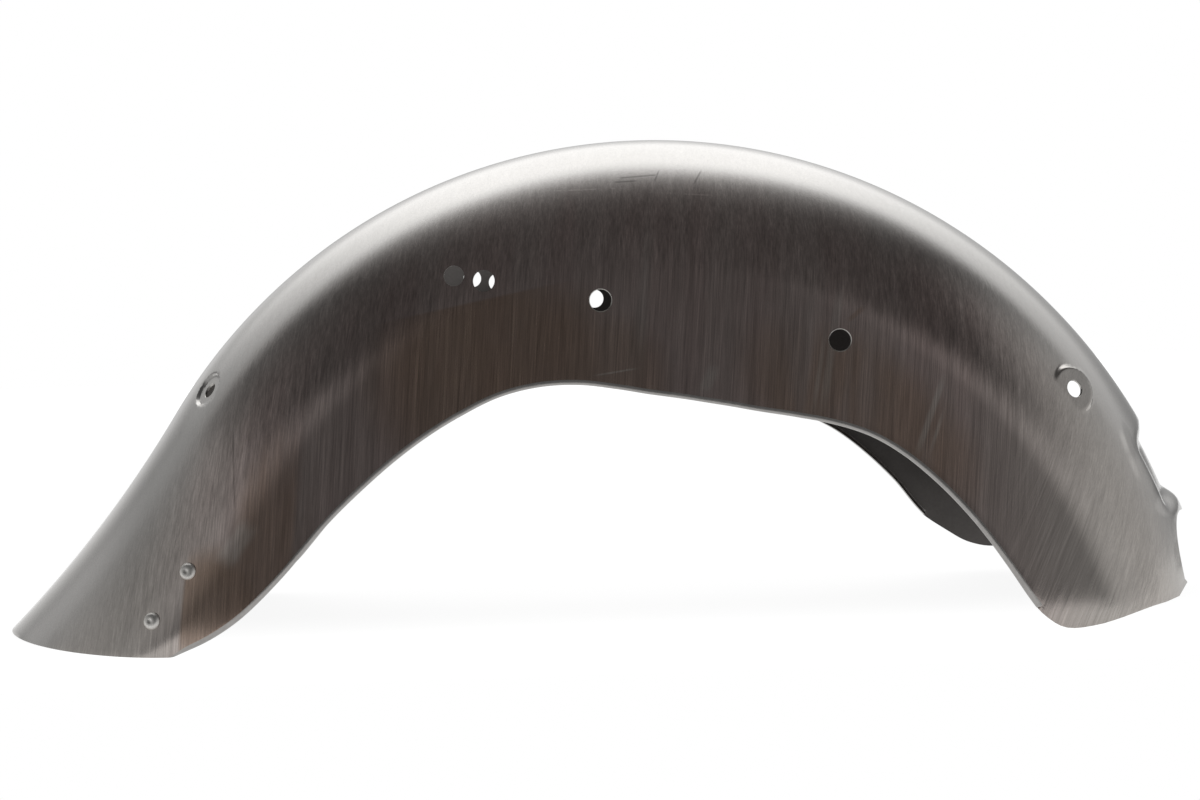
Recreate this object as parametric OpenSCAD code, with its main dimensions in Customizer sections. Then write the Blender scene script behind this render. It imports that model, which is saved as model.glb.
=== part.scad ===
// Rear fender of a cruiser motorcycle: one pressed sheet-steel shell with a riveted tail brace.
// +X points to the front of the motorcycle, +Y to the rider's left, +Z up. Millimetres.
// The shell is worked out round the wheel axle and then set down so that it rests on z = 0.
// A place on it is an angle from straight up, positive to the front, and a depth below the crown line.

/* [Shell] */
// Radius of the crown line about the wheel axle
crown_r = 400; // [380:1:430]
// Width over the side walls
fender_w = 200; // [180:1:230]
// Thickness of the sheet
sheet = 1.6; // [1.2:0.1:2.5]
// Depth below the crown at which the rounded shoulder becomes a flat wall
shoulder_drop = 100; // [85:1:110]
// Fullness of the shoulder, where 0.71 is a quarter ellipse and less is flatter
shoulder_full = 0.5; // [0.4:0.01:0.7]

/* [Tail] */
// Angle at which the crown leaves its arc for the flared tail
tail_start = -57.5; // [-62:0.5:-50]
// Radius of the flared tail, curved the other way
tail_flare_r = 845; // [700:5:2000]
// Angle of the corner where the tail edge meets the side edge
tail_corner = -78.9; // [-80:0.1:-77]
// How much higher the tip of the tail edge is than its corners
tail_tip_rise = 2; // [0:0.5:6]

/* [Front] */
// Angle at which the crown ends
crown_end = 72.3; // [72:0.1:74]
// Depth of the cross recess pressed into the crown
recess_depth = 7.5; // [2:0.5:9]
// Angle at the middle of the cross recess
recess_mid = 66; // [65:0.5:66.5]
// Length of the cross recess along the crown
recess_len = 66; // [50:1:70]
// Half width of the cross recess
recess_half_w = 46; // [30:1:60]
// Height of the bead raised at the end of the crown
bead_h = 1; // [0:0.25:2]
// How much deeper the left side edge is than the right one, in its front half
left_front_drop = 6; // [0:1:10]

/* [Edge lip] */
// Outer radius of the lip rolled inward along the side edges
lip_r = 3.6; // [2.8:0.1:5]
// Angle through which the lip is rolled
lip_turn = 125; // [90:5:150]

/* [Strut holes] */
// Diameter of the three strut bolt holes in each wall
strut_hole_d = 14.3; // [10:0.1:18]
// Diameter of the spare hole behind them
spare_hole_d = 13.7; // [8:0.1:17]
// Angle of the middle strut hole
strut_hole_angle = -6.4; // [-10:0.1:-4]
// Depth of the middle strut hole below the crown
strut_hole_depth = 112; // [106:1:125]
// Downward slope of the row of strut holes to the front
strut_slope = 11.3; // [8:0.1:14]
// Distance from the middle strut hole back to the rear one
strut_rear_pitch = 77.5; // [60:0.5:90]
// Distance from the middle strut hole on to the front one
strut_front_pitch = 158.5; // [140:0.5:170]
// Distance from the rear strut hole back to the spare hole
spare_hole_pitch = 20.2; // [18:0.1:26]

/* [Front seats] */
// Diameter of the bolt hole in each front seat
front_hole_d = 11.6; // [8:0.1:14]
// Angle of the front seats
front_seat_angle = 52.6; // [50:0.1:54]
// Depth of the front seats below the crown
front_seat_depth = 44; // [40:1:50]
// Diameter of each flat front seat
front_seat_d = 32; // [28:1:36]
// Lean of each front seat from upright
front_seat_lean = 27; // [20:1:35]
// Diameter of the harness hole in the left shoulder
harness_hole_d = 17; // [12:0.5:20]
// Angle of the harness hole
harness_hole_angle = 57.6; // [56:0.1:59]
// Depth of the harness hole below the crown
harness_hole_depth = 14.5; // [12:0.5:18]

/* [Tail lamp seats] */
// Diameter of the bolt hole in each lamp seat
lamp_hole_d = 10.5; // [6:0.1:12]
// Diameter of each round lamp seat
lamp_seat_d = 24; // [20:0.5:28]
// Depth to which each lamp seat is pressed at its middle
lamp_seat_sink = 2.2; // [1.9:0.1:3]
// Angle of the lamp seats
lamp_angle = -52.5; // [-55:0.1:-50]
// Depth of the lamp seats below the crown
lamp_depth = 16.5; // [14:0.5:20]
// Diameter of the wire hole on the centre line
wire_hole_d = 9.5; // [6:0.5:12]
// Angle of the wire hole
wire_hole_angle = -50.5; // [-53:0.1:-48]

/* [Tail brace and rivets] */
// Thickness of the brace strap
brace_t = 2; // [1.5:0.1:3]
// Width of the brace strap along the tail
brace_w = 60; // [56:1:70]
// Clearance between the brace and the sheet
brace_gap = 0.4; // [0.3:0.05:0.6]
// Distance between the two rivets on each side
rivet_pitch = 36.7; // [30:0.1:42]
// Distance along the crown line from the start of the tail to the middle of the brace
brace_at = 79; // [70:1:90]
// Depth of the rivets below the crown
rivet_depth = 79.5; // [70:0.5:85]
// Diameter of the rivet heads
rivet_head_d = 11.5; // [9:0.1:14]
// Height of the rivet heads
rivet_head_h = 3.4; // [2:0.1:5]
// Diameter of the rivet shanks
rivet_shank_d = 6.35; // [4.5:0.05:7.5]

/* [Hidden] */
half_w = fender_w / 2;
round_fn = 96;
// Clearance round and under the rivets
fit = 0.15;

// Side edges, from the tail corner to the front corner: crown angle, edge angle and edge depth.
// The rear rows are edge angle, depth, and how much less deep the left edge is.
right_lip_end = [66, 72.9, 141.8];
left_lip_end = [62.5, 64.4, 152.8];
// The left edge of the rear half rises a little, so that it stays out of sight behind the right one
rear_edge_rows = [[-77, 91.6, 0], [-75, 103.3, 0], [-72.5, 113.6, 1], [-69.3, 122.5, 3], [-65.5, 130.1, 4.5],
                  [-61.6, 135.3, 4.5], [-57, 139.4, 3.5], [-49.3, 145.4, 1.5]];
middle_edge = [[-41.5, -41.5, 149.1], [-30.7, -30.7, 152.4], [-24, -24, 153.9], [-17.7, -17.7, 158],
               [-11.6, -11.6, 164.1], [-6, -6, 171], [0, 0, 176.8], [8, 8, 180], [14, 14, 180],
               [19, 19, 178.4], [24.9, 24.9, 173.8], [28.1, 28.1, 170.4]];
right_front_edge = [[36.2, 36.2, 162], [41.6, 41.6, 158.8], [49.3, 49.3, 156.2], [57, 57, 153.3],
                    [61.8, 65.6, 148.9], right_lip_end, [67.3, 75.7, 133.6], [68.3, 76.95, 124],
                    [69.4, 77.36, 106.4], [70.3, 77.28, 90], [71, 77.3, 70], [71.6, 77.7, 52],
                    [72, 77.85, 39], [crown_end, 77.2, 30.3]];
left_front_edge = [[36.2, 36.2, 162.6 + left_front_drop], [41.6, 41.6, 159.3 + left_front_drop],
                   [49.3, 49.3, 155.9 + left_front_drop], [56, 56, 152.4 + left_front_drop], left_lip_end,
                   [65.2, 69.6, 138.5], [67.3, 72.4, 126], [69.4, 74.2, 106.4], [70.8, 74.6, 77.4],
                   [71.9, 75.4, 42], [crown_end, 74.8, 28.5]];
lobe_angle = right_front_edge[7][1];
lobe_depth = right_front_edge[7][2];
// Angle and depth of the place where the end of the crown turns down into the front flap
front_knee = [71.6, 19.8];

// Floor and axle

// Height of the resting plane above the axle, set by the lowest point of the right front flap
floor_up = (crown_r - lobe_depth) * cos(lobe_angle);
tail_root = crown_r * [sin(tail_start), cos(tail_start)];
flare_centre = tail_root * (crown_r + tail_flare_r) / crown_r;
tip_slope = acos(cos(tail_start) + (tail_root[1] - floor_up - tail_tip_rise) / tail_flare_r);
tail_len = tail_flare_r * (-tail_start - tip_slope) * PI / 180;
tip_station = tail_start - tail_len / crown_r * 180 / PI;
tail_x = crown_line(tip_station)[0];
front_x = (crown_r + bead_h) * sin(crown_end);
axle = [-(tail_x + front_x) / 2, -floor_up];

// Curves

function smooth(x) = let (u = min(max(x, 0), 1)) u * u * (3 - 2 * u);
function side_angle(a) = [sin(a), cos(a)];
function unit(v) = v / norm(v);

// Point of the crown line at a station, in degrees along the arc and on along the tail
function crown_line(station) = station >= tail_start ? crown_r * side_angle(station) :
    let (slope = -tail_start - (tail_start - station) * crown_r / tail_flare_r)
    flare_centre + tail_flare_r * [sin(slope), -cos(slope)];

// Depth of a side-view point below the crown line, and the way straight down into the shell
function in_tail(p) = atan2(p[0], p[1]) < tail_start;
function depth_of(p) = in_tail(p) ? norm(p - flare_centre) - tail_flare_r : crown_r - norm(p);
function inward(p) = in_tail(p) ? unit(p - flare_centre) : -unit(p);

// The shoulder is a conic from the crown to the top of the flat wall
full_term = 2 - 2 * shoulder_full;
function conic_t(depth) = let (q = min(max(depth / shoulder_drop, 0), 1))
    q == 0 ? 0 : min(1, 2 * q / (q * full_term + sqrt(pow(q * full_term, 2) + 4 * q * (1 - q * full_term))));
function conic_w(t) = pow(1 - t, 2) + 2 * shoulder_full * t * (1 - t) + t * t;
function shoulder_depth(t) = shoulder_drop * t * t / conic_w(t);
function shoulder_y(t) = half_w * (2 * shoulder_full * t * (1 - t) + t * t) / conic_w(t);
function shoulder_slope(t) = let (
        w = conic_w(t),
        dw = -2 * (1 - t) + 2 * shoulder_full * (1 - 2 * t) + 2 * t,
        top = 2 * shoulder_full * t * (1 - t) + t * t,
        dtop = 2 * shoulder_full * (1 - 2 * t) + 2 * t)
    unit([half_w * (dtop * w - top * dw), shoulder_drop * (2 * t * w - t * t * dw)]);

// Smooth curve through the rows of a table, by its first column
function slope_at(rows, i, c) = let (lo = max(i - 1, 0), hi = min(i + 1, len(rows) - 1))
    (rows[hi][c] - rows[lo][c]) / (rows[hi][0] - rows[lo][0]);
function row_below(rows, x, i = 0) = i >= len(rows) - 2 || x < rows[i + 1][0] ? i : row_below(rows, x, i + 1);
function along(rows, x, c) = let (
        i = row_below(rows, x),
        span = rows[i + 1][0] - rows[i][0],
        u = (x - rows[i][0]) / span,
        m0 = slope_at(rows, i, c) * span,
        m1 = slope_at(rows, i + 1, c) * span)
    (2 * u * u * u - 3 * u * u + 1) * rows[i][c] + (u * u * u - 2 * u * u + u) * m0
    + (3 * u * u - 2 * u * u * u) * rows[i + 1][c] + (u * u * u - u * u) * m1;

// Side edges

// The stations of the tail run on past the edge angles, because its crown is longer than its edge
rear_gain = (tip_station - tail_start) / (tail_corner - tail_start);
function rear_row(angle, depth) =
    [tail_start + (angle - tail_start) * (angle < tail_start ? rear_gain : 1), angle, depth];
function rear_edge(left) = concat([rear_row(tail_corner, crown_r - floor_up / cos(tail_corner))],
                                  [for (row = rear_edge_rows) rear_row(row[0], row[1] - left * row[2])]);
right_edge = concat(rear_edge(0), middle_edge, right_front_edge);
left_edge = concat(rear_edge(1), middle_edge, left_front_edge);
function edge_point(edge, station) =
    (crown_r - along(edge, station, 2)) * side_angle(along(edge, station, 1));
// Angles over which the way of the edge is taken, and over which it turns level at the tail corner
edge_step = 0.2;
corner_run = 2.5;
function edge_down(edge, station) = let (
        a = edge_point(edge, max(station - edge_step, tip_station)),
        b = edge_point(edge, min(station + edge_step, crown_end)),
        way = unit(b - a),
        corner = smooth(1 - (station - tip_station) / corner_run))
    unit([way[1], -way[0]] * (1 - corner) + [1, 0] * corner);

// Mesh of the shell

shoulder_rows = 9;
wall_rows = 2;
lip_rows = 4;
side_rows = shoulder_rows + wall_rows;
half_rows = side_rows + lip_rows;
// A wall shallower than this gives up rows of the shoulder
full_depth = 1.12 * shoulder_drop;
// Angle over which a lip ends
lip_step = 0.25;
function spread(a, b, n) = [for (i = [0 : n - 1]) a + (b - a) * i / n];
stations = concat(
    spread(tip_station, tip_station + 3, 3), spread(tip_station + 3, tail_start, 8),
    spread(tail_start, 57, 31), spread(57, left_lip_end[0], 6), [left_lip_end[0]],
    spread(left_lip_end[0] + lip_step, right_lip_end[0], 4), [right_lip_end[0]],
    spread(right_lip_end[0] + lip_step, 69.4, 4), spread(69.4, crown_end, 9), [crown_end]);

function row_depth(j, depth) = j <= shoulder_rows ? shoulder_depth(j / shoulder_rows) :
    shoulder_drop + (depth - shoulder_drop) * (j - shoulder_rows) / wall_rows;
function row_share(j, depth) = depth >= full_depth ? row_depth(j, depth) / depth :
    row_depth(j, full_depth) / full_depth;

// The recess and the bead at the front of the crown
recess_half_span = recess_len / 2 / crown_r * 180 / PI;
recess_ramp = 2.2;
recess_side_run = 22;
bead_half_w = 16;
bead_fade = 20;
function press(p, y) = let (
        past = atan2(p[0], p[1]) - recess_mid,
        across = smooth((recess_half_w - abs(y)) / recess_side_run + 0.75),
        dip = smooth((recess_half_span + past) / recess_ramp)
            * smooth((recess_half_span - past) / recess_ramp),
        bead = smooth((past - recess_half_span) / recess_ramp + 0.5)
             * (1 - smooth((abs(y) - bead_half_w) / bead_fade)))
    recess_depth * dip * across - bead_h * bead;

// How far the rulings of the front end bend away from straight, through the knee at the last one
function bow(station, share) = let (
        front = smooth((station - right_lip_end[0]) / (crown_end - right_lip_end[0])),
        middle = (crown_line(crown_end) + edge_point(right_edge, crown_end)) / 2)
    4 * share * (1 - share) * front * (place(front_knee[0], front_knee[1]) - middle);
function lip_share(edge, station) = let (end = edge == right_edge ? right_lip_end[0] : left_lip_end[0])
    station <= end ? 1 : 0;
// Side-view place of row j, on the ruling from the crown down to the bend of the lip
function ruling(edge, station, j) = let (
        top = crown_line(station),
        end = edge_point(edge, station),
        down = edge_down(edge, station),
        bend = end - lip_r * down,
        share = j <= side_rows ? row_share(j, depth_of(bend)) : 1,
        flat = j <= side_rows ? 0 : (j - side_rows) / lip_rows)
    top + (bend - top) * share + bow(station, share) + down * lip_r * flat;

// One point of a skin: offset is how far it lies inside the outer skin
function skin_point(edge, station, j, side, offset, level_end) = let (
        p = ruling(edge, station, j),
        depth = depth_of(p),
        t = conic_t(depth),
        tangent = shoulder_slope(t),
        y = shoulder_y(t),
        into = inward(p),
        move = offset * tangent[0],
        shift = level_end && station == tip_station ? [move / into[0], 0] : into * move,
        q = p + shift + into * press(p, y),
        flat_point = [q[0], side * (y - offset * tangent[1]), q[1]])
    j <= side_rows || lip_share(edge, station) == 0 ? flat_point :
    let (
        down = edge_down(edge, station),
        bend = edge_point(edge, station) - lip_r * down,
        turn = lip_turn * (j - side_rows) / lip_rows,
        r = lip_r - offset,
        c = bend + down * r * sin(turn))
    [c[0], side * (half_w - lip_r + r * cos(turn)), c[1]];

// Across one station, from the right lip over the crown to the left lip
function skin_row(station, offset, rows, level_end) = concat(
    [for (j = [rows : -1 : 1]) skin_point(right_edge, station, j, -1, offset, level_end)],
    [skin_point(right_edge, station, 0, 0, offset, level_end)],
    [for (j = [1 : rows]) skin_point(left_edge, station, j, 1, offset, level_end)]);

// Closed sheet between an outer and an inner grid of points, n stations by m rows
function quad(a, b, c, d) = [[a, b, c], [a, c, d]];
function flatten(lists) = [for (l = lists) for (x = l) x];
function sheet_faces(n, m) = let (o = 0, i = n * m) flatten(concat(
    [for (s = [0 : n - 2]) for (r = [0 : m - 2])
        quad(o + s * m + r, o + s * m + r + 1, o + (s + 1) * m + r + 1, o + (s + 1) * m + r)],
    [for (s = [0 : n - 2]) for (r = [0 : m - 2])
        quad(i + s * m + r, i + (s + 1) * m + r, i + (s + 1) * m + r + 1, i + s * m + r + 1)],
    [for (s = [0 : n - 2]) quad(o + s * m, o + (s + 1) * m, i + (s + 1) * m, i + s * m)],
    [for (s = [0 : n - 2]) quad(o + s * m + m - 1, i + s * m + m - 1,
                                i + (s + 1) * m + m - 1, o + (s + 1) * m + m - 1)],
    [for (r = [0 : m - 2]) quad(o + r, i + r, i + r + 1, o + r + 1)],
    [for (r = [0 : m - 2]) quad(o + (n - 1) * m + r, o + (n - 1) * m + r + 1,
                                i + (n - 1) * m + r + 1, i + (n - 1) * m + r)]));

module sheet_between(outer, inner) {
    points = concat(flatten(outer), flatten(inner));
    polyhedron(points, sheet_faces(len(outer), len(outer[0])));
}

// Places on the surface

// Side-view point at an angle and a depth, for the arc of the crown
function place(angle, depth) = (crown_r - depth) * side_angle(angle);
// Side-view point at a distance along the tail from its start, and a depth
function tail_place(dist, depth) = let (p = crown_line(tail_start - dist / crown_r * 180 / PI))
    p + inward(p) * depth;
// Angle between the surface and upright at a side-view point
function lean_at(p) = let (tangent = shoulder_slope(conic_t(depth_of(p)))) atan2(tangent[0], tangent[1]);

// Puts its children on the surface at p, with their +Z straight out of it or at the lean given
module on_surface(p, side, lean) {
    out = -inward(p);
    y = shoulder_y(conic_t(depth_of(p)));
    turn = atan2(out[0], out[1]);
    translate([p[0], side * y, p[1]]) rotate([0, turn, 0]) rotate([-side * (90 - lean), 0, 0]) children();
}

// Straight hole through both walls
module wall_hole(p, d) {
    translate([p[0], 0, p[1]]) rotate([90, 0, 0])
        cylinder(d = d, h = fender_w + 2, center = true, $fn = round_fn);
}

strut_middle = place(strut_hole_angle, strut_hole_depth);
strut_way = [cos(strut_slope), -sin(strut_slope)];
strut_rear = strut_middle - strut_way * strut_rear_pitch;
strut_front = strut_middle + strut_way * strut_front_pitch;
spare = strut_rear - strut_way * spare_hole_pitch;
front_seat = place(front_seat_angle, front_seat_depth);
harness = place(harness_hole_angle, harness_hole_depth);
lamp = place(lamp_angle, lamp_depth);
// Height of the wall round the floor of a lamp seat, which keeps its top inside the sheet
lamp_wall_h = 1.15;

// How far the tools that cut a seat or a hole reach past the sheet
seat_reach = 12;
// Distance from the centre line at which the cut of the harness hole stops
harness_gap = 5;

// Solid of a lamp seat before its floor and hole are cut
module lamp_seat_body() {
    translate([0, 0, -lamp_seat_sink - sheet])
        cylinder(d = lamp_seat_d + 2 * sheet, h = sheet + lamp_wall_h, $fn = round_fn);
}

module lamp_seat_cut() {
    translate([0, 0, -lamp_seat_sink]) cylinder(d = lamp_seat_d, h = seat_reach, $fn = round_fn);
    translate([0, 0, -seat_reach]) cylinder(d = lamp_hole_d, h = 2 * seat_reach, $fn = round_fn);
}

// Height of the front seat over the surface at its middle
seat_up = 1.5;
// The seat stands on a slope that follows the sheet, a little below its outer skin
seat_slope = 15;
seat_bite = 1.2;
module front_seat_body(side) {
    intersection() {
        translate([0, 0, -seat_reach]) cylinder(d = front_seat_d, h = seat_reach + seat_up, $fn = round_fn);
        rotate([side * seat_slope, 0, 0]) translate([0, 0, front_seat_d / 2 - seat_bite])
            cube([2 * front_seat_d, 2 * front_seat_d, front_seat_d], center = true);
    }
}

module front_seat_cut() {
    translate([0, 0, -seat_reach])
        cylinder(d = front_seat_d - 2 * sheet, h = seat_reach + seat_up - sheet, $fn = round_fn);
    translate([0, 0, -seat_reach]) cylinder(d = front_hole_d, h = 2 * seat_reach, $fn = round_fn);
}

module fender_shell() {
    color([0.46, 0.44, 0.42]) translate([axle[0], 0, axle[1]]) difference() {
        union() {
            sheet_between(
                [for (s = stations) skin_row(s, 0, half_rows, true)],
                [for (s = stations) skin_row(s, sheet, half_rows, true)]);
            for (side = [-1, 1]) {
                on_surface(lamp, side, lean_at(lamp)) lamp_seat_body();
                on_surface(front_seat, side, front_seat_lean) front_seat_body(side);
            }
        }
        for (side = [-1, 1]) {
            on_surface(lamp, side, lean_at(lamp)) lamp_seat_cut();
            on_surface(front_seat, side, front_seat_lean) front_seat_cut();
            for (dist = rivet_dists) rivet_hole(dist, side);
        }
        wall_hole(strut_middle, strut_hole_d);
        wall_hole(strut_rear, strut_hole_d);
        wall_hole(strut_front, strut_hole_d);
        wall_hole(spare, spare_hole_d);
        translate([harness[0], half_w, harness[1]]) rotate([90, 0, 0])
            cylinder(d = harness_hole_d, h = half_w - harness_gap, $fn = round_fn);
        rotate([0, wire_hole_angle, 0]) translate([0, 0, crown_r - seat_reach])
            cylinder(d = wire_hole_d, h = 2 * seat_reach, $fn = round_fn);
    }
}

// Brace and rivets

// Distances of the two rivets along the crown line from the start of the tail
rivet_dists = [brace_at - rivet_pitch / 2, brace_at + rivet_pitch / 2];
brace_out = sheet + brace_gap;
brace_in = brace_out + brace_t;
brace_steps = 4;
brace_stations = [for (i = [0 : brace_steps])
    tail_start - (brace_at + brace_w * (0.5 - i / brace_steps)) / crown_r * 180 / PI];

// The strap hugs the inside of the shell down to the top of the flat walls
module tail_brace() {
    color([0.36, 0.35, 0.34]) translate([axle[0], 0, axle[1]]) difference() {
        sheet_between(
            [for (s = brace_stations) skin_row(s, brace_out, shoulder_rows, false)],
            [for (s = brace_stations) skin_row(s, brace_in, shoulder_rows, false)]);
        for (side = [-1, 1], dist = rivet_dists) rivet_hole(dist, side);
    }
}

module on_rivet(dist, side) {
    p = tail_place(dist, rivet_depth);
    on_surface(p, side, lean_at(p)) children();
}

module rivet_hole(dist, side) {
    on_rivet(dist, side) translate([0, 0, -seat_reach])
        cylinder(d = rivet_shank_d + 2 * fit, h = 2 * seat_reach, $fn = round_fn);
}

// Size of the dimple against the head, its depth, and size of the closed end against the shank
dimple_share = 0.22;
dimple_deep = 0.35;
end_share = 0.7;
// Round head with a small dimple outside, and a low closed head inside
module rivet(dist, side) {
    head_r = rivet_head_d / 2;
    ball_r = (head_r * head_r + rivet_head_h * rivet_head_h) / (2 * rivet_head_h);
    dimple_r = dimple_share * head_r;
    end_r = end_share * rivet_shank_d;
    end_h = end_r / 2;
    reach = brace_in + fit;
    color([0.55, 0.53, 0.5]) translate([axle[0], 0, axle[1]]) on_rivet(dist, side)
        difference() {
            union() {
                translate([0, 0, fit]) intersection() {
                    translate([0, 0, rivet_head_h - ball_r]) sphere(r = ball_r, $fn = round_fn);
                    cylinder(r = ball_r, h = rivet_head_h + 1, $fn = round_fn);
                }
                translate([0, 0, -reach - end_h / 2])
                    cylinder(d = rivet_shank_d, h = reach + end_h / 2 + fit + 1, $fn = round_fn);
                translate([0, 0, -reach - end_h]) cylinder(r = end_r, h = end_h, $fn = round_fn);
            }
            translate([0, 0, fit + rivet_head_h - dimple_deep])
                cylinder(r1 = 0.4 * dimple_r, r2 = dimple_r, h = dimple_deep + fit, $fn = round_fn);
        }
}

module rivet_right_upper() rivet(rivet_dists[0], -1);
module rivet_right_lower() rivet(rivet_dists[1], -1);
module rivet_left_upper() rivet(rivet_dists[0], 1);
module rivet_left_lower() rivet(rivet_dists[1], 1);

fender_shell();
tail_brace();
rivet_right_upper();
rivet_right_lower();
rivet_left_upper();
rivet_left_lower();
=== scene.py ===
"""Rear fender of a cruiser motorcycle in bare pressed steel, on a pale studio floor.

The shell is drawn again at a finer pitch than its CAD solid, from the same rules: a crown line that is an arc
about the wheel axle and then a flare at the tail, a conic shoulder, flat walls and a rolled lip. Working
lengths are in millimetres about the axle, with x to the front and z up, and a mesh is set down in metres in
the row frame.
"""
import math

import bmesh
import bpy
import numpy as np
from mathutils import Matrix, Vector


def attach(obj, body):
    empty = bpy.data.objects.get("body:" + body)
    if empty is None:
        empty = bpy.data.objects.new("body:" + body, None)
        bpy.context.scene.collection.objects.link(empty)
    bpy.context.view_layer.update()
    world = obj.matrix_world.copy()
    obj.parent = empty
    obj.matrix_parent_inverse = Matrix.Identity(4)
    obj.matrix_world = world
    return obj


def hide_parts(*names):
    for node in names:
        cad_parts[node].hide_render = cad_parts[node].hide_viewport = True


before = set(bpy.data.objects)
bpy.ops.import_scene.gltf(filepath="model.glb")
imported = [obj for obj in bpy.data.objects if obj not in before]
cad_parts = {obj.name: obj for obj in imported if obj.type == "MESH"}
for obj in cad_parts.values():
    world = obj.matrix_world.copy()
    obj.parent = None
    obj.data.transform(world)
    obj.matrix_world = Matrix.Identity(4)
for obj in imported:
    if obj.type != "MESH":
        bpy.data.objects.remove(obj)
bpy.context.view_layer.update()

# Shape of the sheet: angles are about the axle, from straight up and positive to the front

CROWN_R = 400.0
HALF_W = 100.0
SHEET = 1.6
SHOULDER_DROP = 100.0
SHOULDER_FULL = 0.5
TAIL_START = -57.5
TAIL_FLARE_R = 845.0
TAIL_CORNER = -78.9
TAIL_TIP_RISE = 2.0
# Stretch of the tail, in degrees, over which the ribs turn to follow its level edge
CORNER_RUN = 2.5
CROWN_END = 72.3
RECESS_DEPTH = 7.5
RECESS_MID = 66.0
RECESS_LEN = 66.0
RECESS_HALF_W = 46.0
# Length over which the recess runs out to the side, and the share of it beyond the half width
RECESS_FADE, RECESS_FADE_OUT = 22.0, 0.75
BEAD_H = 1.0
BEAD_HALF_W, BEAD_FADE = 16.0, 20.0
# Degrees over which the recess and the bead run into the crown
PRESS_RUN = 2.2
LEFT_DROP = 6.0
LIP_R = 3.6
LIP_TURN = 125.0
# A side is laid out as at least this many times as deep as the shoulder
SIDE_SHARE = 1.12
# Rows of the sheet on one side, counted from the crown: foot of the shoulder, bend of the lip, edge
SHOULDER_ROWS, SIDE_ROWS, ALL_ROWS = 9, 11, 15

# Side edges: crown angle, edge angle and edge depth. The rear rows are edge angle, depth, and how much less
# deep the left edge is. The middle rows are one angle for both, and depth.
RIGHT_LIP_END = (66, 72.9, 141.8)
LEFT_LIP_END = (62.5, 64.4, 152.8)
REAR_ROWS = ((-77, 91.6, 0), (-75, 103.3, 0), (-72.5, 113.6, 1), (-69.3, 122.5, 3), (-65.5, 130.1, 4.5),
             (-61.6, 135.3, 4.5), (-57, 139.4, 3.5), (-49.3, 145.4, 1.5))
MIDDLE_EDGE = ((-41.5, 149.1), (-30.7, 152.4), (-24, 153.9), (-17.7, 158), (-11.6, 164.1), (-6, 171),
               (0, 176.8), (8, 180), (14, 180), (19, 178.4), (24.9, 173.8), (28.1, 170.4))
RIGHT_FRONT = ((36.2, 36.2, 162), (41.6, 41.6, 158.8), (49.3, 49.3, 156.2), (57, 57, 153.3),
               (61.8, 65.6, 148.9), RIGHT_LIP_END, (67.3, 75.7, 133.6), (68.3, 76.95, 124),
               (69.4, 77.36, 106.4), (70.3, 77.28, 90), (71, 77.3, 70),
               (71.6, 77.7, 52), (72, 77.85, 39), (CROWN_END, 77.2, 30.3))
LEFT_FRONT = ((36.2, 36.2, 162.6 + LEFT_DROP), (41.6, 41.6, 159.3 + LEFT_DROP),
              (49.3, 49.3, 155.9 + LEFT_DROP), (56, 56, 152.4 + LEFT_DROP), LEFT_LIP_END,
              (65.2, 69.6, 138.5), (67.3, 72.4, 126),
              (69.4, 74.2, 106.4), (70.8, 74.6, 77.4), (71.9, 75.4, 42), (CROWN_END, 74.8, 28.5))
# Row of the right front where the flap hangs lowest, level with the tail's corner
LOBE = RIGHT_FRONT[7]
# Angle and depth of the place where the end of the crown turns down into the front flap
FRONT_KNEE = (71.6, 19.8)


def smooth(x):
    u = min(max(x, 0.0), 1.0)
    return u * u * (3 - 2 * u)


def side_angle(a):
    return Vector((math.sin(math.radians(a)), math.cos(math.radians(a))))


TAIL_ROOT = CROWN_R * side_angle(TAIL_START)
FLARE_CENTRE = TAIL_ROOT * (CROWN_R + TAIL_FLARE_R) / CROWN_R
FLOOR_UP = (CROWN_R - LOBE[2]) * math.cos(math.radians(LOBE[1]))
TIP_SLOPE = math.degrees(math.acos(math.cos(math.radians(TAIL_START))
                                   + (TAIL_ROOT.y - FLOOR_UP - TAIL_TIP_RISE) / TAIL_FLARE_R))
TIP_STATION = TAIL_START - TAIL_FLARE_R * (-TAIL_START - TIP_SLOPE) / CROWN_R


def crown_line(station):
    if station >= TAIL_START:
        return CROWN_R * side_angle(station)
    slope = math.radians(-TAIL_START - (TAIL_START - station) * CROWN_R / TAIL_FLARE_R)
    return FLARE_CENTRE + TAIL_FLARE_R * Vector((math.sin(slope), -math.cos(slope)))


AXLE = Vector((-(crown_line(TIP_STATION).x + (CROWN_R + BEAD_H) * side_angle(CROWN_END).x) / 2, -FLOOR_UP))


def angle_of(p):
    return math.degrees(math.atan2(p.x, p.y))


def in_tail(p):
    return angle_of(p) < TAIL_START


def depth_of(p):
    return (p - FLARE_CENTRE).length - TAIL_FLARE_R if in_tail(p) else CROWN_R - p.length


def inward(p):
    return (p - FLARE_CENTRE).normalized() if in_tail(p) else -p.normalized()


def conic_t(depth):
    """Place along the shoulder's curve, from 0 at the crown to 1 at its foot, for a depth under the crown."""
    q = min(max(depth / SHOULDER_DROP, 0.0), 1.0)
    m = 2 - 2 * SHOULDER_FULL
    return 0.0 if q == 0 else min(1.0, 2 * q / (q * m + math.sqrt((q * m) ** 2 + 4 * q * (1 - q * m))))


def conic_w(t):
    return (1 - t) ** 2 + 2 * SHOULDER_FULL * t * (1 - t) + t * t


def shoulder_depth(t):
    return SHOULDER_DROP * t * t / conic_w(t)


def shoulder_y(t):
    return HALF_W * (2 * SHOULDER_FULL * t * (1 - t) + t * t) / conic_w(t)


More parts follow.
